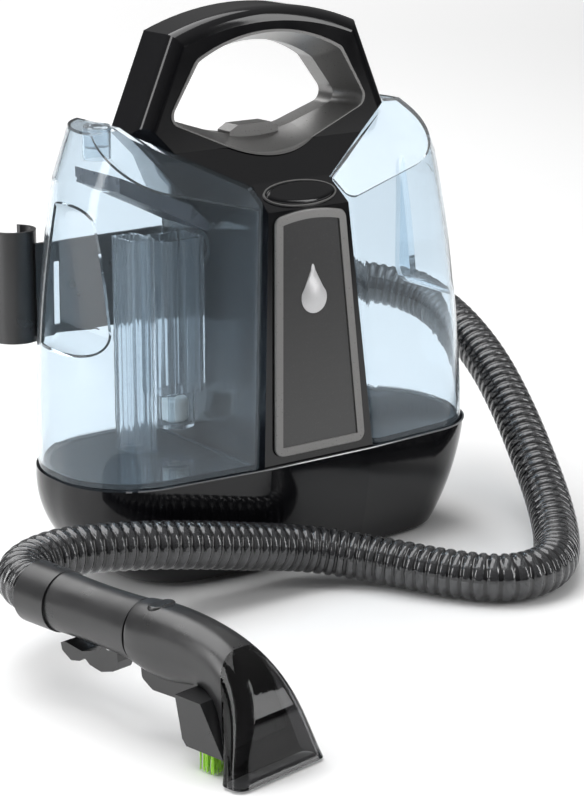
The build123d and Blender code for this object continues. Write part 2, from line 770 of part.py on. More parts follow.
def trigger_slot():
    """The slot under the grip that the trigger swings in."""
    with BuildPart() as slot:
        with BuildSketch(tool_side()):
            with Locations((TRIGGER_AT - 17, -18)):
                Rectangle(52, 24)
        extrude(amount=6.5, both=True)
    return slot.part


def pivot_pin():
    """The pin across the grip that the trigger turns on."""
    with BuildPart() as pin:
        with BuildSketch(tool_side(TRIGGER_Z)):
            with Locations((TRIGGER_AT, 0)):
                Circle(2)
        extrude(amount=8.2, both=True)
    return pin.part


with BuildPart() as grip_upper:
    add(grip_block(0))
    add(grip_block(2.4), mode=Mode.SUBTRACT)
    split(bisect_by=Plane.XY.offset(TOOL_Z), keep=Keep.TOP)

with BuildPart() as grip_lower:
    add(grip_block(0))
    add(grip_block(2.4), mode=Mode.SUBTRACT)
    split(bisect_by=Plane.XY.offset(TOOL_Z), keep=Keep.BOTTOM)
    add(trigger_slot(), mode=Mode.SUBTRACT)
    add(pivot_pin(), mode=Mode.SUBTRACT)

with BuildPart() as trigger_pin:
    add(pivot_pin())

with BuildPart() as trigger:
    with BuildSketch(tool_side(TRIGGER_Z)) as lever:
        with Locations((TRIGGER_AT, 0)):
            Polygon((4, 4), (5, -8), (2, -14), (-8, -17), (-17, -15.5), (-21, -12.6), (-25, -15.5),
                    (-32, -17), (-39, -13), (-40, -9), (-37, -7.5), (-23, -9.5), (-9, -5), (-4, 4),
                    align=None)
        fillet(lever.vertices().filter_by(lambda v: v.Y < -12), 2)
        with Locations((TRIGGER_AT, 0)):
            Circle(2.05, mode=Mode.SUBTRACT)
    extrude(amount=6, both=True)


def valve_bore(radius, low, high):
    """A short upright rod over the trigger, between two heights."""
    with BuildPart() as rod:
        with BuildSketch(tool_floor(TRIGGER_AT - 12, low)):
            Circle(radius)
        extrude(amount=high - low)
    return rod.part


with BuildPart() as spray_valve:
    with BuildSketch(tool_side()):
        with Locations((TRIGGER_AT - 12, 7)):
            Rectangle(20, 9)
    extrude(amount=6, both=True)
    add(valve_bore(1.55, TOOL_Z, TOOL_Z + 9), mode=Mode.SUBTRACT)

with BuildPart() as valve_pin:
    add(valve_bore(1.5, TRIGGER_Z - 5.4, TOOL_Z + 6))

with BuildPart() as spray_tube:
    for start, end in ((GRIP_START + 1, TRIGGER_AT - 22), (TRIGGER_AT - 2, GRIP_END - 8)):
        with BuildSketch(tool_plane(start, TOOL_Z + 7)):
            Circle(2.5)
        extrude(amount=end - start)


def nozzle_block(shrink, past_ends=0.0):
    """The neck and the flared head, drawn in by shrink and run past both ends."""
    with BuildPart() as block:
        for along, height, tip_down, wide, deep, corner in (
            (GRIP_END + 1.6 - past_ends, TOOL_Z, 0, 31, 34, 15),
            (-52, TOOL_Z, 0, 30, 32, 13),
            (-27, 40, 45, 36, 27, 11),
            (-14, 20, 70, 50, 19, 8),
            (-MOUTH_DEPTH / 2, 1 - past_ends, 90, MOUTH_W, MOUTH_DEPTH, 6),
        ):
            with BuildSketch(tool_plane(along, height, tip_down)):
                RectangleRounded(wide - 2 * shrink, deep - 2 * shrink, corner - shrink)
        loft()
    return block.part


def head_cut():
    """The slanting plane between the black neck and the clear window."""
    side_view = tool_side(0)
    low = side_view.from_local_coords((-15, 0, 0))
    high = side_view.from_local_coords((-33, 66, 0))
    return Plane(origin=low, x_dir=side_view.z_dir, z_dir=(high - low).cross(side_view.z_dir))


def nozzle_shell(keep):
    """One side of the hollow nozzle, which is open at the mouth and the grip."""
    with BuildPart() as shell:
        add(nozzle_block(0))
        add(nozzle_block(2.2, 1.0), mode=Mode.SUBTRACT)
        split(bisect_by=head_cut(), keep=keep)
    return shell.part


LOCK_AT = GRIP_END + 14
with BuildPart() as nozzle_body:
    add(nozzle_shell(Keep.BOTTOM))
    with BuildSketch(tool_side(0)) as keel:
        Polygon((-97, 36), (-96, 27), (-88, 22.5), (-70, 23), (-60, 29), (-56, 36), align=None)
        fillet(keel.vertices().filter_by(lambda v: v.Y < 30), 3.5)
    extrude(amount=6.5, both=True)
    add(nozzle_block(2.2, 1.0), mode=Mode.SUBTRACT)
    with BuildSketch(tool_floor(LOCK_AT, TOOL_Z)):
        SlotOverall(17, 9)
    extrude(amount=20, mode=Mode.SUBTRACT)

with BuildPart() as nozzle_window:
    add(nozzle_shell(Keep.TOP))

with BuildPart() as lock_button:
    with BuildSketch(tool_floor(LOCK_AT, TOOL_Z + 12)):
        SlotOverall(16.2, 8.2)
    extrude(amount=6.4)
    fillet(lock_button.faces().sort_by(Axis.Z)[-1].edges(), 1.2)

with BuildPart() as brush_plate:
    with BuildSketch(tool_side(0)):
        Polygon((-52, 36), (-34, 36), (-18, 10.7), (-44, 10.7), (-47, 14), align=None)
    extrude(amount=25, both=True)
    add(nozzle_block(0), mode=Mode.SUBTRACT)
    with BuildSketch(tool_plane(-46, 29, 55)):
        Circle(4.2)
    extrude(amount=40, both=True, mode=Mode.SUBTRACT)

with BuildPart() as bristles:
    with BuildSketch(tool_floor(-31, 0.3)):
        with GridLocations(3.8, 4.0, 13, 3):
            Circle(1.7)
    extrude(amount=10.2)

with BuildPart() as spray_tip:
    with BuildSketch(tool_plane(-46, 29, 55)):
        Circle(3.4)
        Circle(0.8, mode=Mode.SUBTRACT)
    extrude(amount=-12)
    add(nozzle_block(0), mode=Mode.SUBTRACT)


# ---------------------------------------------------------------- written parts
PARTS = {
    "base_shell": base_shell, "base_plate": base_plate, "rubber_feet": rubber_feet,
    "base_screws": base_screws, "tank_gaskets": tank_gaskets, "valve_cup": valve_cup,
    "front_shell": front_shell, "back_shell": back_shell, "handle_liner": handle_liner,
    "strip_bezel": strip_bezel, "nameplate": nameplate, "button_bezel": button_bezel,
    "power_button": power_button, "power_switch": power_switch, "motor": motor,
    "motor_mount": motor_mount, "fan": fan, "fan_housing": fan_housing, "suction_duct": suction_duct,
    "dirty_duct": dirty_duct, "pump": pump, "supply_tube": supply_tube, "circuit_board": circuit_board,
    "port_seals": port_seals, "exhaust_grille": exhaust_grille, "cord_inlet": cord_inlet,
    "lower_hook": lower_hook, "upper_hook": upper_hook, "shell_screws": shell_screws,
    "tool_bracket": tool_bracket, "hose_socket": hose_socket, "dirty_tank": dirty_tank,
    "riser_column": riser_column, "air_duct": air_duct, "float_cage": float_cage,
    "tank_float": tank_float, "inlet_tray": inlet_tray, "pour_spout": pour_spout,
    "drain_plug": drain_plug, "clean_tank": clean_tank, "fill_cap": fill_cap,
    "valve_plunger": valve_plunger, "hose": hose, "tool_cuff": tool_cuff, "grip_upper": grip_upper,
    "grip_lower": grip_lower, "trigger_pin": trigger_pin, "trigger": trigger,
    "spray_valve": spray_valve, "valve_pin": valve_pin, "spray_tube": spray_tube,
    "nozzle_body": nozzle_body, "nozzle_window": nozzle_window, "lock_button": lock_button,
    "brush_plate": brush_plate, "bristles": bristles, "spray_tip": spray_tip,
}
for part_name, piece in PARTS.items():
    piece.part.label = part_name
    export_step(piece.part, f"parts/{part_name}.step")
print("pieces", len(PARTS))
print("hose radii", [round(radius) for radius in radii])
hose_length = sum(edge.length for edge in hose_line.edges())
print("hose length", round(hose_length), "volume over section x length",
      round(hose.part.volume / (pi * HOSE_D ** 2 / 4 * hose_length), 4))
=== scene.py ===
# %% [markdown]
# # A portable spot extractor
#
# This machine washes one spot of carpet or upholstery. It sprays clean water from the clear tank on
# its right, and a fan sucks the dirty water back through a ribbed hose into the clear tank on its left.
# The solid shapes come from a CAD model, in metres, and stay where they are. This lesson gives them
# their finishes and adds what CAD left plain: the ribs of the hose, the bristles and the small marks.

# %% Load the CAD frame
import json
import math

import bpy
import numpy as np
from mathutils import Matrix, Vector

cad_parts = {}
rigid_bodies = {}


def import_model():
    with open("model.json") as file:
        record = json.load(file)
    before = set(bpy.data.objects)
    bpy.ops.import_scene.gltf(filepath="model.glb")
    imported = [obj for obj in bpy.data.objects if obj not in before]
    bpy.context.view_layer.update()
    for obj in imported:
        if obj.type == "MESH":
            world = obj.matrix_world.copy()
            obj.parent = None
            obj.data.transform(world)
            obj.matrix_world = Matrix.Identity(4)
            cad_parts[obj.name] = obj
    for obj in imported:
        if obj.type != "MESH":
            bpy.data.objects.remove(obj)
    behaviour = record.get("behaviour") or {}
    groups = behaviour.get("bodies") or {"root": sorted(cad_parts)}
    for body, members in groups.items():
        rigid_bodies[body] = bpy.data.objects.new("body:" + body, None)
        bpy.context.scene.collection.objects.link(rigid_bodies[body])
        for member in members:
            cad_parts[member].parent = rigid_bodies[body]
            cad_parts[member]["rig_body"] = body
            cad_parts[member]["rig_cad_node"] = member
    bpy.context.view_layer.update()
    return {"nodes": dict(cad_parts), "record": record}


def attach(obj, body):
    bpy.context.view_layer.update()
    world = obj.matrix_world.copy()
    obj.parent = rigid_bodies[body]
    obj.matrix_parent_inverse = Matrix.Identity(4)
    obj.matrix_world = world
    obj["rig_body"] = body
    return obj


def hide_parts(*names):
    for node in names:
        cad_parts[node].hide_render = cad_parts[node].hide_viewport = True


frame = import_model()
nodes = frame["nodes"]

# %% [markdown]
# ## Camera
#
# A long lens from the machine's left, a little above it, shows the front, the left tank and the hose.
# The camera is aimed with a track quaternion, because a long lens makes a small error in angle large.

# %% Place the camera
LOOK_FROM = Vector((-0.8448, -1.1850, 0.4968))
LOOK_AT = Vector((0.0405, 0.015, 0.0799))
LENS_MM = 108
FARTHEST_SEEN = 60
camera_data = bpy.data.cameras.new("camera")
camera_data.lens = LENS_MM
camera_data.clip_end = FARTHEST_SEEN
camera = bpy.data.objects.new("camera", camera_data)
camera.location = LOOK_FROM
camera.rotation_euler = (LOOK_AT - LOOK_FROM).to_track_quat("-Z", "Y").to_euler()
bpy.context.scene.collection.objects.link(camera)
bpy.context.scene.camera = camera
print("camera distance", round((LOOK_AT - LOOK_FROM).length, 3))

# %% [markdown]
# ## The hose's route
#
# A suction hose is a fixed length of something springy. It leaves the back of the machine, bends down
# past its right side, lies on the floor and comes up to the spray tool. A NURBS spline passes near a
# few listed points and is smooth between them, as a hose is. Its order and its end points are
# set after the points are added, because before that there is nothing for them to apply to.

# %% Draw the route
HOSE_ROUTE = [
    (0.0168, 0.0674, 0.1402), (0.064, 0.099, 0.139), (0.116, 0.123, 0.133), (0.170, 0.125, 0.124),
    (0.206, 0.092, 0.115), (0.201, 0.044, 0.105), (0.192, -0.002, 0.087), (0.177, -0.046, 0.065),
    (0.160, -0.086, 0.043), (0.142, -0.122, 0.025), (0.118, -0.156, 0.0142), (0.086, -0.187, 0.0142),
    (0.050, -0.189, 0.0142), (0.027, -0.157, 0.0142), (0.007, -0.115, 0.0152), (-0.023, -0.088, 0.021),
    (-0.066, -0.089, 0.031), (-0.110, -0.088, 0.041), (-0.150, -0.082, 0.047), (-0.190, -0.077, 0.050),
    (-0.221, -0.088, 0.050), (-0.2355, -0.113, 0.050), (-0.2303, -0.1397, 0.050),
]


def spline_object(name, points):
    """An open NURBS spline through the scene's air, near the given points."""
    curve = bpy.data.curves.new(name, "CURVE")
    curve.dimensions = "3D"
    curve.resolution_u = 16
    spline = curve.splines.new("NURBS")
    spline.points.add(len(points) - 1)
    for control, place in zip(spline.points, points):
        control.co = (*place, 1)
    spline.order_u = 3
    spline.use_endpoint_u = True
    obj = bpy.data.objects.new(name, curve)
    bpy.context.scene.collection.objects.link(obj)
    return obj


def points_on(obj):
    """The points that a curve with no bevel evaluates to."""
    bpy.context.view_layer.update()
    mesh = bpy.data.meshes.new_from_object(obj)
    found = np.array([v.co for v in mesh.vertices])
    bpy.data.meshes.remove(mesh)
    return found


route = spline_object("hose_route", HOSE_ROUTE)
line = points_on(route)
bpy.data.objects.remove(route)
runs = np.linalg.norm(np.diff(line, axis=0), axis=1)
distance = np.concatenate([[0], np.cumsum(runs)])
HOSE_LENGTH = float(distance[-1])
print("hose", round(HOSE_LENGTH, 4), "m in", len(line), "points")

# %% [markdown]
# ## The hose's wall
#
# The wall is a stack of rings: a narrow black ring, then a band of clear vinyl that bulges between them.
# Rings are set along the route at equal steps, and each ring is turned from the one before by the
# least angle, so that the hose isn't twisted. A number kept on every vertex says how much of it is
# rib, and the material reads that number.

# %% Lay rings along the route
RIB_PITCH = 0.0068
RIB_PROFILE = [  # place along one rib, radius in metres, how black it is
    (0.00, 0.0133, 1.0), (0.13, 0.0132, 1.0), (0.26, 0.0133, 1.0), (0.30, 0.0136, 0.1), (0.40, 0.0142, 0.0),
    (0.56, 0.0144, 0.0), (0.72, 0.0144, 0.0), (0.86, 0.0142, 0.0), (0.96, 0.0136, 0.1),
]
AROUND = 30
HOSE_START, HOSE_END_GAP = 0.002, 0.004


def at_distance(s):
    """Points of the route at the given distances along it."""
    return np.stack([np.interp(s, distance, line[:, axis]) for axis in range(3)], axis=1)


def untwisted_frames(points):
    """Two side directions at each point, carried along without twist."""
    ahead = np.gradient(points, axis=0)
    ahead /= np.linalg.norm(ahead, axis=1)[:, None]
    side = np.cross(ahead[0], (0, 0, 1))
    side /= np.linalg.norm(side)
    sides = []
    for way in ahead:
        side = side - way * side.dot(way)
        side /= np.linalg.norm(side)
        sides.append(side)
    sides = np.array(sides)
    return sides, np.cross(ahead, sides)


def ringed_tube(name, steps, radii, around):
    """A closed tube mesh with one ring at each step along the route."""
    centres = at_distance(np.array(steps))
    first, second = untwisted_frames(centres)
    turn = np.linspace(0, 2 * math.pi, around, endpoint=False)
    ring = np.cos(turn)[None, :, None] * first[:, None] + np.sin(turn)[None, :, None] * second[:, None]
    spots = (centres[:, None] + ring * np.array(radii)[:, None, None]).reshape(-1, 3)
    count = len(steps)
    faces = [list(range(around))[::-1], [(count - 1) * around + j for j in range(around)]]
    for i in range(count - 1):
        for j in range(around):
            k = (j + 1) % around
            faces.append([i * around + j, i * around + k, (i + 1) * around + k, (i + 1) * around + j])
    mesh = bpy.data.meshes.new(name)
    mesh.from_pydata(spots.tolist(), [], faces)
    mesh.polygons.foreach_set("use_smooth", [True] * len(mesh.polygons))
    obj = bpy.data.objects.new(name, mesh)
    bpy.context.scene.collection.objects.link(obj)
    return obj


steps, radii, blackness = [], [], []
for rib in range(int((HOSE_LENGTH - HOSE_END_GAP) / RIB_PITCH)):
    for place, radius, black in RIB_PROFILE:
        steps.append(HOSE_START + (rib + place) * RIB_PITCH)
        radii.append(radius)
        blackness.append(black)
hose = ringed_tube("ribbed_hose", steps, radii, AROUND)
rib_share = hose.data.attributes.new("rib", "FLOAT", "POINT")
rib_share.data.foreach_set("value", np.repeat(np.array(blackness, np.float32), AROUND))
print("hose faces", len(hose.data.polygons))

# %% [markdown]
# A thin black tube runs inside the hose and brings the washing solution to the tool. It shows as a
# dark line behind the clear bands. It follows the same route, along the middle of the hose.

# %% Lay the solution tube inside
TUBE_RADIUS = 0.0042
TUBE_RINGS, TUBE_AROUND = 260, 12
tube_steps = np.linspace(HOSE_END_GAP, HOSE_LENGTH - HOSE_END_GAP, TUBE_RINGS)
solution_tube = ringed_tube("solution_tube", tube_steps, [TUBE_RADIUS] * TUBE_RINGS, TUBE_AROUND)
for piece in (hose, solution_tube):
    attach(piece, "machine")
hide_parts("hose")
print("tube faces", len(solution_tube.data.polygons))

# %% [markdown]
# ## Finishes
#
# Every finish is one Principled shader with a little life in it: a fine noise moves its colour and
# its roughness, because no moulded plastic is perfectly even, and a bump gives it its grain. Numbers
# that are the same all over the surface are set on the shader itself.


# %% Helpers that make a finish
NOISE_LOW, NOISE_HIGH = 0.3, 0.7


def shader_of(material):
    """The Principled shader of a finish."""
    return material.node_tree.nodes["Principled BSDF"]


def finish_named(name, colour, roughness, **sockets):
    """A material with one Principled shader whose plain sockets are set by name."""
    material = bpy.data.materials.new(name)
    material.use_nodes = True
    shader = shader_of(material)
    shader.inputs["Base Color"].default_value = (*colour, 1)
    shader.inputs["Roughness"].default_value = roughness
    for socket, value in sockets.items():
        shader.inputs[socket.replace("_", " ")].default_value = value
    return material


def node(owner, kind, **settings):
    """A new node in a material or the world, with some of its settings or inputs given."""
    made = owner.node_tree.nodes.new(kind)
    for key, value in settings.items():
        if key in made.inputs:
            made.inputs[key].default_value = value
        else:
            setattr(made, key, value)
    return made


def wire(owner, source, target):
    """Joins two sockets of a material or the world."""
    owner.node_tree.links.new(source, target)


def mapped(owner, value, before, after, **settings):
    """A value moved from one range, given low and high, to another."""
    moved = node(owner, "ShaderNodeMapRange", **settings)
    for key, number in zip(("From Min", "From Max", "To Min", "To Max"), (*before, *after)):
        moved.inputs[key].default_value = number
    wire(owner, value, moved.inputs["Value"])
    return moved.outputs["Result"]


def place_along(owner, axis, coordinates="Object"):
    """The place along one axis, in metres on an object, as a direction's share in the sky."""
    where = node(owner, "ShaderNodeTexCoord")
    axes = node(owner, "ShaderNodeSeparateXYZ")
    wire(owner, where.outputs[coordinates], axes.inputs[0])
    return axes.outputs[axis]


def two_tones(material, value, first, second, start=0.0, end=1.0):
    """Sets the base colour from a value, from one tone to another."""
    ramp = node(material, "ShaderNodeValToRGB")
    for stop, position, colour in zip(ramp.color_ramp.elements, (start, end), (first, second)):
        stop.position = position
        stop.color = (*colour, 1)
    wire(material, value, ramp.inputs["Fac"])
    wire(material, ramp.outputs["Color"], shader_of(material).inputs["Base Color"])


def noise_on(material, scale, detail=4.0):
    """Noise in metres on the object, as a value from about 0.3 to 0.7."""
    where = node(material, "ShaderNodeTexCoord")
    noise = node(material, "ShaderNodeTexNoise", Scale=scale, Detail=detail)
    wire(material, where.outputs["Object"], noise.inputs["Vector"])
    return noise.outputs["Fac"]


def vary_roughness(material, scale, low, high):
    """Lets the gloss drift, as it does on plastic that has been handled."""
    drift = mapped(material, noise_on(material, scale), (NOISE_LOW, NOISE_HIGH), (low, high))
    wire(material, drift, shader_of(material).inputs["Roughness"])


def vary_colour(material, scale, first, second):
    """Lets the colour drift between two near tones."""
    two_tones(material, noise_on(material, scale), first, second, NOISE_LOW, NOISE_HIGH)


def grain(material, scale, strength, height=0.0002):
    """A fine moulded texture, as bump."""
    bump = node(material, "ShaderNodeBump", Strength=strength, Distance=height)
    wire(material, noise_on(material, scale, 2.0), bump.inputs["Height"])
    wire(material, bump.outputs["Normal"], shader_of(material).inputs["Normal"])


# %% [markdown]
# ### Opaque plastics, paint and steel
#
# Each finish has a base colour, a gloss and a scale for its noise. The name strip's colour follows its
# height: it is painted lighter at its foot than at its head, which is painted shade.

# %% Make the opaque finishes
gloss_black = finish_named("gloss_black", (0.007, 0.007, 0.009), 0.1, Specular_IOR_Level=0.4)
vary_roughness(gloss_black, 35, 0.05, 0.13)
vary_colour(gloss_black, 12, (0.003, 0.003, 0.004), (0.006, 0.006, 0.007))
satin_black = finish_named("satin_black", (0.010, 0.010, 0.011), 0.33, Specular_IOR_Level=0.7)
vary_roughness(satin_black, 60, 0.26, 0.36)
vary_colour(satin_black, 40, (0.013, 0.013, 0.014), (0.019, 0.019, 0.020))
grain(satin_black, 1400, 0.12)
satin_grey = finish_named("satin_grey", (0.20, 0.198, 0.195), 0.3, Metallic=0.6)
vary_roughness(satin_grey, 1200, 0.27, 0.33)
vary_colour(satin_grey, 2500, (0.195, 0.193, 0.19), (0.205, 0.202, 0.199))
graphite = finish_named("graphite", (0.03, 0.03, 0.031), 0.3)
vary_roughness(graphite, 2500, 0.22, 0.28)
# Painted shade on the name strip: its colour goes from lighter at its foot to darker at its head.
STRIP_SHADE_LOW, STRIP_SHADE_HIGH = 0.08, 0.215
strip_painted_shade = mapped(graphite, place_along(graphite, "Z"), (STRIP_SHADE_LOW, STRIP_SHADE_HIGH), (0, 1))
two_tones(graphite, strip_painted_shade, (0.055, 0.055, 0.055), (0.016, 0.016, 0.017))
dark_parts = finish_named("dark_parts", (0.04, 0.045, 0.055), 0.3)
vary_roughness(dark_parts, 80, 0.25, 0.4)
rubber = finish_named("rubber", (0.015, 0.015, 0.015), 0.7)
vary_roughness(rubber, 120, 0.6, 0.8)
grain(rubber, 900, 0.3)
steel = finish_named("steel", (0.55, 0.55, 0.55), 0.3, Metallic=1.0)
vary_roughness(steel, 300, 0.22, 0.4)
board = finish_named("board", (0.03, 0.16, 0.07), 0.45)
vary_colour(board, 400, (0.02, 0.12, 0.05), (0.05, 0.2, 0.09))
white_nylon = finish_named("white_nylon", (0.75, 0.75, 0.72), 0.4)
vary_roughness(white_nylon, 200, 0.35, 0.5)
bristle_green = finish_named("bristle_green", (0.35, 0.75, 0.03), 0.35, Subsurface_Weight=0.2)
vary_colour(bristle_green, 500, (0.28, 0.66, 0.02), (0.45, 0.85, 0.06))
print("finishes", len(bpy.data.materials))

# %% [markdown]
# ### Clear plastics
#
# The tanks are thin smoky blue plastic. Glass that bends light would need many samples to let a lamp
# shine into it, so rays that only ask "is this point lit?" pass straight through a tinted transparent
# shader, chosen by the Light Path node. What is looked at still gets true glass, with a little haze.


# %% Make the clear finishes
def clear_finish(name, tint, roughness, ior, shade, haze=0.0):
    """Glass for sight, tinted straight-through for lamps, and milky by the haze."""
    material = finish_named(name, tint, roughness, Transmission_Weight=1.0 - haze, IOR=ior,
                            Coat_Weight=0.35, Coat_Roughness=0.02)
    output = material.node_tree.nodes["Material Output"]
    path = node(material, "ShaderNodeLightPath")
    through = node(material, "ShaderNodeBsdfTransparent")
    through.inputs["Color"].default_value = (*shade, 1)
    mix = node(material, "ShaderNodeMixShader")
    wire(material, path.outputs["Is Shadow Ray"], mix.inputs["Fac"])
    wire(material, shader_of(material).outputs[0], mix.inputs[1])
    wire(material, through.outputs[0], mix.inputs[2])
    wire(material, mix.outputs[0], output.inputs["Surface"])
    return material


tank_clear = clear_finish("tank_clear", (0.81, 0.885, 0.94), 0.03, 1.18, (0.90, 0.94, 0.97), haze=0.018)
tank_parts = clear_finish("tank_parts", (0.84, 0.88, 0.91), 0.08, 1.3, (0.88, 0.91, 0.93), haze=0.05)
smoke_clear = clear_finish("smoke_clear", (0.16, 0.16, 0.165), 0.04, 1.15, (0.4, 0.4, 0.4))
for clear in (tank_clear, tank_parts, smoke_clear):
    grain(clear, 60, 0.05, 0.0006)
print("finishes", len(bpy.data.materials))

# %% [markdown]
# ### The hose's two plastics
#
# One material serves the whole hose. The number on each vertex sets black ribs against smoky, silvery
# vinyl, and the same number opens the vinyl a little, so that the tube inside shows.

# %% Make the hose's finish
hose_finish = finish_named("hose_vinyl", (0.4, 0.41, 0.43), 0.12, Metallic=0.35, Specular_IOR_Level=0.8,
                           Coat_Weight=0.6, Coat_Roughness=0.04)
BAND_COVER = 0.8
rib_value = node(hose_finish, "ShaderNodeAttribute", attribute_name="rib").outputs["Fac"]
two_tones(hose_finish, rib_value, (0.045, 0.046, 0.049), (0.004, 0.004, 0.005), 0.35, 0.6)
rib_cover = mapped(hose_finish, rib_value, (0, 1), (BAND_COVER, 1))
wire(hose_finish, rib_cover, shader_of(hose_finish).inputs["Alpha"])
vary_roughness(hose_finish, 220, 0.06, 0.2)
grain(hose_finish, 260, 0.35, 0.0009)
hose.data.materials.append(hose_finish)
solution_tube.data.materials.append(rubber)
print("hose finish ready")

# %% Put the finishes on the CAD nodes
SLOT_FINISH = {
    "gloss_black": gloss_black, "satin_black": satin_black, "satin_grey": satin_grey, "graphite": graphite,
    "tank_clear": tank_clear, "tank_parts": tank_parts, "dark_parts": dark_parts, "rubber": rubber,
    "hose": hose_finish, "smoke_clear": smoke_clear, "bristle": bristle_green, "steel": steel,
    "motor": steel, "board": board, "white_nylon": white_nylon,
}
for part in frame["record"]["subparts"]:
    mesh = nodes[part["node"]].data
    mesh.materials.clear()
    mesh.materials.append(SLOT_FINISH[part["material_slot"]])
nodes["drain_plug"].data.materials[0] = tank_parts

# %% [markdown]
# ## Small pieces that the CAD model left plain
#
# The next pieces are modelled as by hand: a primitive is added, shaped in edit mode and finished with
# modifiers. Each ends with its place in its mesh, so that a pattern on it stays where it is.


# %% Helpers for modelling by hand
def only(obj):
    """Makes this the one selected and active object."""
    bpy.ops.object.select_all(action="DESELECT")
    obj.select_set(True)
    bpy.context.view_layer.objects.active = obj


def pick_vertices(obj, wanted):
    """In edit mode: selects the vertices whose place passes a test."""
    bpy.ops.mesh.select_all(action="DESELECT")
    bpy.ops.object.mode_set(mode="OBJECT")
    for vertex in obj.data.vertices:
        vertex.select = bool(wanted(vertex.co))
    bpy.ops.object.mode_set(mode="EDIT")


def bevel_edges(obj, width, segments=2):
    """Rounds a piece's edges with a bevel that is then applied."""
    only(obj)
    modifier = obj.modifiers.new("rounding", "BEVEL")
    modifier.width = width
    modifier.segments = segments
    bpy.ops.object.modifier_apply(modifier="rounding")


def settle(obj, name, body, finish, angle=40):
    """Puts the piece's place into its mesh, then names, dresses and hangs it."""
    only(obj)
    bpy.ops.object.transform_apply(location=True, rotation=True, scale=True)
    bpy.ops.object.shade_smooth_by_angle(angle=math.radians(angle))
    obj.name = obj.data.name = name
    obj.data.materials.clear()
    obj.data.materials.append(finish)
    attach(obj, body)
    print(name, len(obj.data.polygons), "faces")
    return obj


# %% [markdown]
# ### Lip of the base
#
# A thin light grey line runs round the top edge of the base, as a painted highlight along that edge. The
# edge is already in the CAD mesh, so a copy of that mesh is merged, the edge is picked by the slopes of the
# faces that meet there, and it becomes a curve with a small round bevel.

# %% Draw the lip from the base's own edge
LIP_RADIUS = 0.00055
MERGE_WITHIN = 0.00002
FLAT_TOP, WALL_STEEPEST, WALL_FLATTEST = 0.95, -0.6, -0.03
base_copy = nodes["base_shell"].copy()
base_copy.data = nodes["base_shell"].data.copy()
base_copy.parent = None
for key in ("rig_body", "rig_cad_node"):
    del base_copy[key]
bpy.context.scene.collection.objects.link(base_copy)
only(base_copy)
bpy.ops.object.mode_set(mode="EDIT")
bpy.ops.mesh.select_all(action="SELECT")
bpy.ops.mesh.remove_doubles(threshold=MERGE_WITHIN)
bpy.ops.mesh.select_all(action="DESELECT")
bpy.ops.object.mode_set(mode="OBJECT")
slopes = {}
for face in base_copy.data.polygons:
    for key in face.edge_keys:
        slopes.setdefault(key, []).append(face.normal.z)
for edge in base_copy.data.edges:
    pair = sorted(slopes.get(tuple(sorted(edge.vertices)), []))
    edge.select = len(pair) == 2 and pair[1] > FLAT_TOP and WALL_STEEPEST < pair[0] < WALL_FLATTEST
bpy.context.tool_settings.mesh_select_mode = (False, True, False)
bpy.ops.object.mode_set(mode="EDIT")
bpy.ops.mesh.separate(type="SELECTED")
bpy.ops.object.mode_set(mode="OBJECT")
bpy.context.tool_settings.mesh_select_mode = (True, False, False)
lip = next(o for o in bpy.context.selected_objects if o != base_copy)
bpy.data.objects.remove(base_copy)
only(lip)
bpy.ops.object.mode_set(mode="EDIT")
bpy.ops.mesh.select_all(action="SELECT")
bpy.ops.mesh.delete(type="ONLY_FACE")
bpy.ops.object.mode_set(mode="OBJECT")
bpy.ops.object.convert(target="CURVE")
lip = bpy.context.object
lip.data.bevel_depth = LIP_RADIUS
lip.data.bevel_resolution = 2
bpy.ops.object.convert(target="MESH")
# The lip's light grey is a painted highlight along the base's top edge.
lip_painted_highlight = finish_named("lip_painted_highlight", (0.25, 0.25, 0.255), 0.12, Metallic=0.5)
vary_roughness(lip_painted_highlight, 120, 0.08, 0.2)
settle(bpy.context.object, "base_lip", "machine", lip_painted_highlight)

# %% [markdown]
# ### Mark on the name strip
#
# The strip carries a plain drop, for water. A disc is pulled to a point at its top, given a thickness
# and rounded. It leans back with the strip.

# %% Model the drop mark
STRIP_LEAN = math.radians(4.28)
MARK_Z = 0.168
MARK_RADIUS, MARK_THICK, MARK_ROUNDING = 0.0095, 0.0004, 0.00015
STRIP_FOOT_Y, STRIP_FOOT_Z = -0.0691, 0.0745
STRIP_FACE_Y = STRIP_FOOT_Y + (MARK_Z - STRIP_FOOT_Z) * math.tan(STRIP_LEAN)
DROP_STEPS = [  # height as a share of the radius, width left, lift in metres
    (0.35, 0.80, 0.0022), (0.72, 0.62, 0.0040), (0.93, 0.45, 0.0048),
]
bpy.ops.object.select_all(action="DESELECT")
bpy.ops.mesh.primitive_circle_add(vertices=40, radius=MARK_RADIUS, fill_type="NGON")
mark = bpy.context.object
bpy.ops.object.mode_set(mode="EDIT")
for level, squeeze, lift in DROP_STEPS:
    pick_vertices(mark, lambda co, y=level * MARK_RADIUS: co.y > y)
    bpy.ops.transform.resize(value=(squeeze, 1, 1), center_override=(0, 0, 0))
    bpy.ops.transform.translate(value=(0, lift, 0))
bpy.ops.mesh.select_all(action="SELECT")
bpy.ops.mesh.extrude_region_move(TRANSFORM_OT_translate={"value": (0, 0, MARK_THICK)})
bpy.ops.mesh.select_all(action="SELECT")
bpy.ops.mesh.normals_make_consistent(inside=False)
bpy.ops.object.mode_set(mode="OBJECT")
bevel_edges(mark, MARK_ROUNDING)
mark.rotation_euler = (math.pi / 2 - STRIP_LEAN, 0, 0)
mark.location = (0, STRIP_FACE_Y, MARK_Z)
mark_paint = finish_named("mark_paint", (0.62, 0.62, 0.63), 0.3, Metallic=0.3)
vary_roughness(mark_paint, 2500, 0.27, 0.32)
settle(mark, "drop_mark", "machine", mark_paint)

# %% [markdown]
# ### Bristles
#
# A real brush has many thin nylon filaments. One is a tapered cone, curved a little by moving its
# lower end. It is copied into a bundle at the place of each CAD tuft, with seeded small turns.

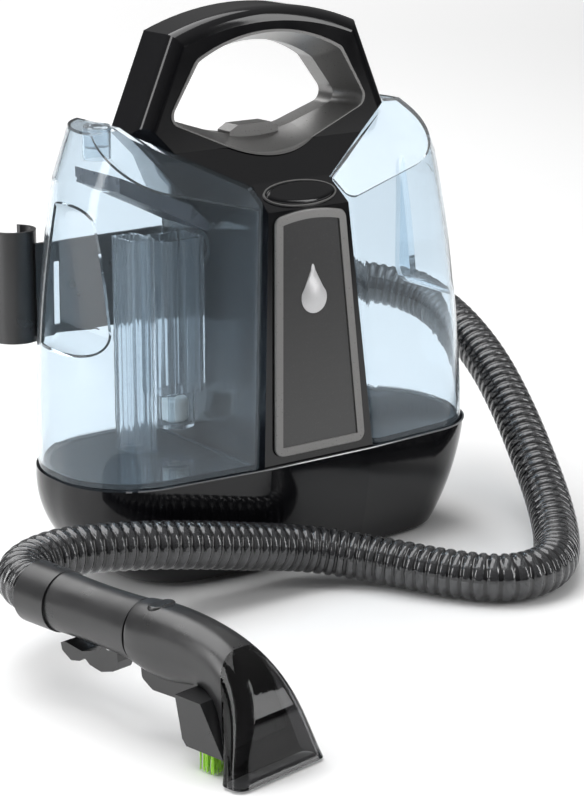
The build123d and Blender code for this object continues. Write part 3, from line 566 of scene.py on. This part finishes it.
# %% Model one filament
FILAMENT_TOP, FILAMENT_TIP = 0.0109, 0.0004
TIP_RADIUS, ROOT_RADIUS = 0.00022, 0.00036
BEND_BELOW, BEND_BY = -0.003, 0.0006
bpy.ops.object.select_all(action="DESELECT")
bpy.ops.mesh.primitive_cone_add(vertices=5, radius1=TIP_RADIUS, radius2=ROOT_RADIUS,
                                depth=FILAMENT_TOP - FILAMENT_TIP, end_fill_type="TRIFAN")
filament = bpy.context.object
bpy.ops.object.mode_set(mode="EDIT")
bpy.ops.mesh.select_all(action="SELECT")
bpy.ops.mesh.bisect(plane_co=(0, 0, 0), plane_no=(0, 0, 1))
pick_vertices(filament, lambda co: co.z < BEND_BELOW)
bpy.ops.transform.translate(value=(BEND_BY, 0, 0))
bpy.ops.object.mode_set(mode="OBJECT")
filament_points = np.array([v.co for v in filament.data.vertices])
filament_faces = [list(p.vertices) for p in filament.data.polygons]
bpy.data.objects.remove(filament)
print("one filament", len(filament_points), "points")

# %% Copy it into bundles where the CAD tufts stand
TOOL_HEAD = Vector((-0.2014, -0.3072, 0))
TOOL_WAY = Vector((0.17, -0.985, 0)).normalized()
TOOL_SIDE = Vector((-TOOL_WAY.y, TOOL_WAY.x, 0))
TUFT_ALONG, TUFT_STEP, ROW_STEP = -0.031, 0.0038, 0.004
TUFTS, ROWS, FILAMENTS_PER_TUFT, TUFT_RADIUS = 13, 3, 9, 0.0014
chance = np.random.default_rng(7)
places, polygons = [], []
for column in range(TUFTS):
    for row in range(ROWS):
        root = (TOOL_HEAD + TOOL_WAY * (TUFT_ALONG + (row - ROWS // 2) * ROW_STEP)
                + TOOL_SIDE * (column - TUFTS // 2) * TUFT_STEP)
        for _ in range(FILAMENTS_PER_TUFT):
            turn = chance.uniform(0, 2 * math.pi)
            away = TUFT_RADIUS * math.sqrt(chance.uniform(0, 1))
            way = chance.uniform(0, 2 * math.pi)
            middle = np.array((root.x + away * math.cos(way), root.y + away * math.sin(way),
                               (FILAMENT_TOP + FILAMENT_TIP) / 2))
            spin = np.array(((math.cos(turn), -math.sin(turn), 0), (math.sin(turn), math.cos(turn), 0),
                             (0, 0, 1)))
            start = len(places) * len(filament_points)
            polygons += [[start + k for k in face] for face in filament_faces]
            places.append(filament_points @ spin.T + middle)
bristle_mesh = bpy.data.meshes.new("filaments")
bristle_mesh.from_pydata(np.concatenate(places).tolist(), [], polygons)
filaments = bpy.data.objects.new("filaments", bristle_mesh)
bpy.context.scene.collection.objects.link(filaments)
settle(filaments, "filaments", "nozzle", bristle_green, 60)
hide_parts("bristles")

# %% [markdown]
# ## Light
#
# Two tall soft lamps stand at the sides, so that the gloss black shows bright edges, and one large
# lamp hangs above. The sky is white light that is dim at the horizon and brighter overhead, because a
# bright horizon would turn the black plastic grey.


# %% Set the lamps and the sky
def soft_lamp(name, place, target, width, height, power):
    """A rectangular area lamp that faces a point."""
    data = bpy.data.lights.new(name, "AREA")
    data.shape = "RECTANGLE"
    data.size = width
    data.size_y = height
    data.energy = power
    lamp = bpy.data.objects.new(name, data)
    lamp.location = place
    lamp.rotation_euler = (Vector(target) - Vector(place)).to_track_quat("-Z", "Y").to_euler()
    bpy.context.scene.collection.objects.link(lamp)


MIDDLE = (0, 0, 0.15)
soft_lamp("lamp_left", (-1.9, 0.15, 0.8), MIDDLE, 0.5, 1.6, 16)
soft_lamp("lamp_right", (1.2, -1.5, 0.9), MIDDLE, 0.4, 1.6, 12)
soft_lamp("lamp_top", (-0.3, 0.7, 2.2), MIDDLE, 2.6, 2.4, 64)
world = bpy.data.worlds.new("studio")
bpy.context.scene.world = world
world.use_nodes = True
sky = world.node_tree.nodes["Background"]
sky.inputs["Color"].default_value = (1, 1, 1, 1)
sky_strength = mapped(world, place_along(world, "Z", "Generated"), (0.0, 0.8), (0.06, 0.42))
wire(world, sky_strength, sky.inputs["Strength"])
bpy.context.scene.view_settings.view_transform = "Standard"
print("lamps", len(bpy.data.lights))

# %% [markdown]
# ## Floor
#
# The floor is pale under and round the machine. It isn't the same tone everywhere: it darkens from
# 0.6 m in front of the machine, where the black plastic would mirror it, and glows a little from
# 0.6 m behind, where a studio's paper would sweep up. Both follow the floor's own Y, in metres.

# %% Lay the floor
FLOOR_SIZE, FLOOR_DROP = 24, 0.0006
DARK_FROM, PALE_FROM = -1.6, -0.6
GLOW_FROM, GLOW_FULL = 0.6, 3.0
bpy.ops.mesh.primitive_plane_add(size=FLOOR_SIZE, location=(0, 0, -FLOOR_DROP))
floor = bpy.context.object
floor.name = "floor"
floor_finish = finish_named("floor_white", (0.9, 0.9, 0.9), 0.6)
floor_y = place_along(floor_finish, "Y")
floor_tone = mapped(floor_finish, floor_y, (DARK_FROM, PALE_FROM), (0.16, 0.93),
                    interpolation_type="SMOOTHSTEP")
wire(floor_finish, floor_tone, shader_of(floor_finish).inputs["Base Color"])
floor_glow = mapped(floor_finish, floor_y, (GLOW_FROM, GLOW_FULL), (0.0, 0.6))
shader_of(floor_finish).inputs["Emission Color"].default_value = (1, 1, 1, 1)
wire(floor_finish, floor_glow, shader_of(floor_finish).inputs["Emission Strength"])
floor.data.materials.append(floor_finish)
print("floor ready")
